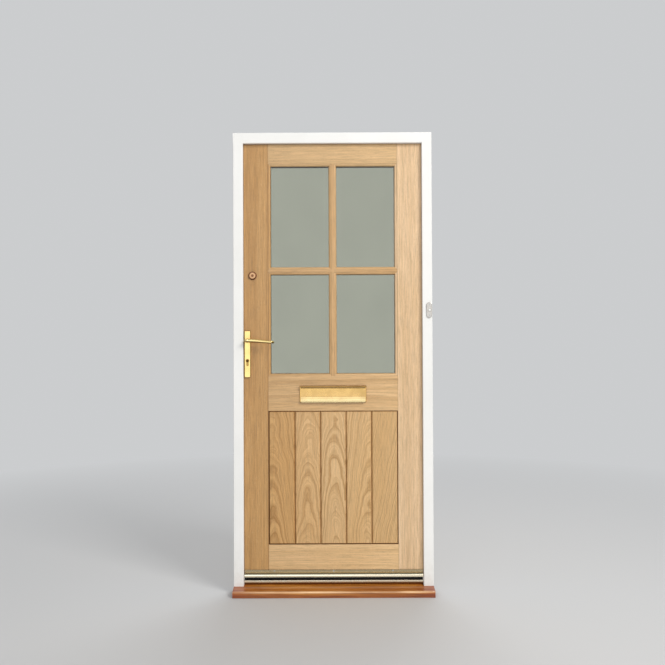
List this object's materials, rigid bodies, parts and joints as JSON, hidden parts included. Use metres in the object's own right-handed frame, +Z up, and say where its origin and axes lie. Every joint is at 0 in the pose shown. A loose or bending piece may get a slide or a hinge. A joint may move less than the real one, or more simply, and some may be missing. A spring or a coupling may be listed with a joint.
{
  "type": "panelled front door with frame",
  "caption": "Half-glazed oak front door with boarded lower panel, hung in a white timber frame with hardwood sill, lever handle, nightlatch, letter plate and bell push.",
  "frame": {"origin": "middle of the frame's width, at the outer face of the jambs and the underside of the sill", "axes": "+Z up, +Y into the house, +X towards the hinges, the right-hand side seen from outside"},
  "size_m": [0.904, 0.1747, 2.092],
  "materials": {
    "oak": "clear satin lacquer",
    "hardwood": "oiled, red brown",
    "white_painted_timber": "white gloss paint",
    "gold_aluminium": "gold anodised",
    "polished_brass": "polished",
    "plain_brass": "turned",
    "brassed_case": "satin lacquered",
    "dark_bronze": "dulled by weather",
    "steel": "zinc plated",
    "satin_chrome": "satin",
    "white_plastic": "gloss",
    "black_rubber": "matt",
    "spacer_aluminium": "mill",
    "clear_glass": "clear"
  },
  "bodies": {
    "frame": {"sill": "hardwood", "frame_head": "white_painted_timber", "lock_jamb": "white_painted_timber", "hinge_jamb": "white_painted_timber", "frame_seals": "black_rubber", "threshold_bar": "gold_aluminium", "threshold_gasket": "black_rubber", "frame_screws": "steel", "hinge_frame_leaves": "steel", "hinge_pins": "steel", "keep_strip": "steel", "nightlatch_keep": "brassed_case", "bell_push_plate": "satin_chrome"},
    "bell_button": {"bell_push_button": "white_plastic"},
    "door_leaf": {"lock_stile": "oak", "hinge_stile": "oak", "top_rail": "oak", "mid_rail": "oak", "bottom_rail": "oak", "upright_bar": "oak", "cross_bars": "oak", "upper_left_glass": "clear_glass", "upper_right_glass": "clear_glass", "lower_left_glass": "clear_glass", "lower_right_glass": "clear_glass", "glass_spacers": "spacer_aluminium", "glazing_beads": "oak", "panel_board_1": "oak", "panel_board_2": "oak", "panel_board_3": "oak", "panel_board_4": "oak", "panel_board_5": "oak", "rain_deflector": "gold_aluminium", "door_screws": "steel", "hinge_door_leaves": "steel", "lock_cases": "steel", "lock_strip": "steel", "outer_backplate": "polished_brass", "inner_backplate": "polished_brass", "cylinder_body": "plain_brass", "rim_cylinder_ring": "dark_bronze", "rim_cylinder_body": "dark_bronze", "nightlatch_case": "brassed_case", "letter_outer_frame": "polished_brass", "letter_sleeve": "white_plastic", "letter_inner_frame": "polished_brass"},
    "lever_pair": {"outer_lever": "polished_brass", "inner_lever": "polished_brass", "spindle": "steel"},
    "latch_bolt": {"latch_bolt": "steel"},
    "dead_bolt": {"dead_bolt": "steel"},
    "upper_hook": {"upper_hook": "steel"},
    "lower_hook": {"lower_hook": "steel"},
    "cylinder_plug": {"cylinder_plug": "plain_brass"},
    "rim_plug": {"rim_plug": "plain_brass"},
    "nightlatch_knob": {"nightlatch_knob": "brassed_case"},
    "nightlatch_bolt": {"nightlatch_bolt": "plain_brass"},
    "nightlatch_snib": {"nightlatch_snib": "brassed_case"},
    "outer_flap": {"outer_flap": "polished_brass"},
    "inner_flap": {"inner_flap": "polished_brass"}
  },
  "joints": [
    {"name": "door_swing", "type": "hinge", "parent": "frame", "child": "door_leaf", "pos_m": [0.4205, 0.07, 1], "axis": [0, 0, -1], "range_deg": [0, 100]},
    {"name": "bell_press", "type": "slide", "parent": "frame", "child": "bell_button", "axis": [0, 1, 0], "range_m": [0, 0.0025], "stiffness_N_per_m": 500, "springref_m": -0.002},
    {"name": "lever_turn", "type": "hinge", "parent": "door_leaf", "child": "lever_pair", "pos_m": [-0.389, 0.042, 1.146], "axis": [0, 1, 0], "range_deg": [0, 35], "stiffness_Nm_per_rad": 1.2, "springref_deg": -20.05},
    {"name": "latch_slide", "type": "slide", "parent": "door_leaf", "child": "latch_bolt", "axis": [-1, 0, 0], "range_m": [0, 0.012]},
    {"name": "key_turn", "type": "hinge", "parent": "door_leaf", "child": "cylinder_plug", "pos_m": [-0.389, 0.042, 1.054], "axis": [0, 1, 0], "range_deg": [0, 360]},
    {"name": "dead_bolt_slide", "type": "slide", "parent": "door_leaf", "child": "dead_bolt", "axis": [-1, 0, 0], "range_m": [0, 0.02]},
    {"name": "upper_hook_swing", "type": "hinge", "parent": "door_leaf", "child": "upper_hook", "pos_m": [-0.403, 0.042, 1.835], "axis": [0, 1, 0], "range_deg": [0, 90]},
    {"name": "lower_hook_swing", "type": "hinge", "parent": "door_leaf", "child": "lower_hook", "pos_m": [-0.403, 0.042, 0.405], "axis": [0, 1, 0], "range_deg": [0, 90]},
    {"name": "nightlatch_knob_turn", "type": "hinge", "parent": "door_leaf", "child": "nightlatch_knob", "pos_m": [-0.366, 0.094, 1.442], "axis": [0, 1, 0], "range_deg": [0, 60]},
    {"name": "nightlatch_bolt_slide", "type": "slide", "parent": "door_leaf", "child": "nightlatch_bolt", "axis": [-1, 0, 0], "range_m": [0, 0.015]},
    {"name": "rim_key_turn", "type": "hinge", "parent": "door_leaf", "child": "rim_plug", "pos_m": [-0.366, 0.042, 1.442], "axis": [0, 1, 0], "range_deg": [0, 60]},
    {"name": "snib_slide", "type": "slide", "parent": "door_leaf", "child": "nightlatch_snib", "axis": [1, 0, 0], "range_m": [0, 0.006]},
    {"name": "outer_flap_swing", "type": "hinge", "parent": "door_leaf", "child": "outer_flap", "pos_m": [0, 0.0112, 0.9295], "axis": [-1, 0, 0], "range_deg": [0, 90], "stiffness_Nm_per_rad": 0.05, "springref_deg": -28.65},
    {"name": "inner_flap_swing", "type": "hinge", "parent": "door_leaf", "child": "inner_flap", "pos_m": [0, 0.0728, 0.9295], "axis": [1, 0, 0], "range_deg": [0, 90], "stiffness_Nm_per_rad": 0.05, "springref_deg": -28.65}
  ],
  "couplings": [
    {"joint": "key_turn", "follows": "dead_bolt_slide", "rad_per_m": 314.15},
    {"joint": "upper_hook_swing", "follows": "dead_bolt_slide", "rad_per_m": 78.53},
    {"joint": "lower_hook_swing", "follows": "dead_bolt_slide", "rad_per_m": 78.53},
    {"joint": "nightlatch_knob_turn", "follows": "nightlatch_bolt_slide", "rad_per_m": 69.81},
    {"joint": "rim_key_turn", "follows": "nightlatch_bolt_slide", "rad_per_m": 69.81}
  ]
}
